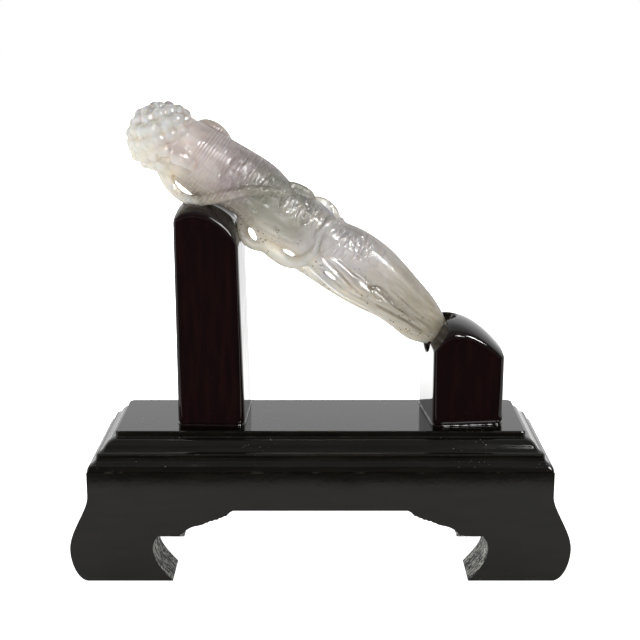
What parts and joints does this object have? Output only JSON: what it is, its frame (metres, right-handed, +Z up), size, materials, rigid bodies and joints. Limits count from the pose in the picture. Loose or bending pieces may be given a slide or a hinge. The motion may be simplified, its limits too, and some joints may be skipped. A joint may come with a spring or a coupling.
{
  "type": "ginseng root carving on a display stand",
  "caption": "Pale carved jadeite ginseng root with a berry cluster head, lying in grooves across a tall and a short post on a black lacquered wooden stand with hoof feet.",
  "frame": {"origin": "on the table, under the middle of the stand's base", "axes": "+Z up; +X along the stand from the tall post (and the carving's head) to the short post (and the tip); +Y from the front to the back"},
  "size_m": [0.136, 0.0428, 0.1279],
  "materials": {
    "pale_jadeite": "polished, translucent",
    "tall_post_lacquer": "gloss black lacquer",
    "short_post_lacquer": "gloss black lacquer",
    "base_lacquer": "satin to gloss black lacquer"
  },
  "bodies": {
    "root": {"ginseng_carving": "pale_jadeite", "tall_post": "tall_post_lacquer", "short_post": "short_post_lacquer", "stand_base": "base_lacquer"}
  },
  "joints": []
}
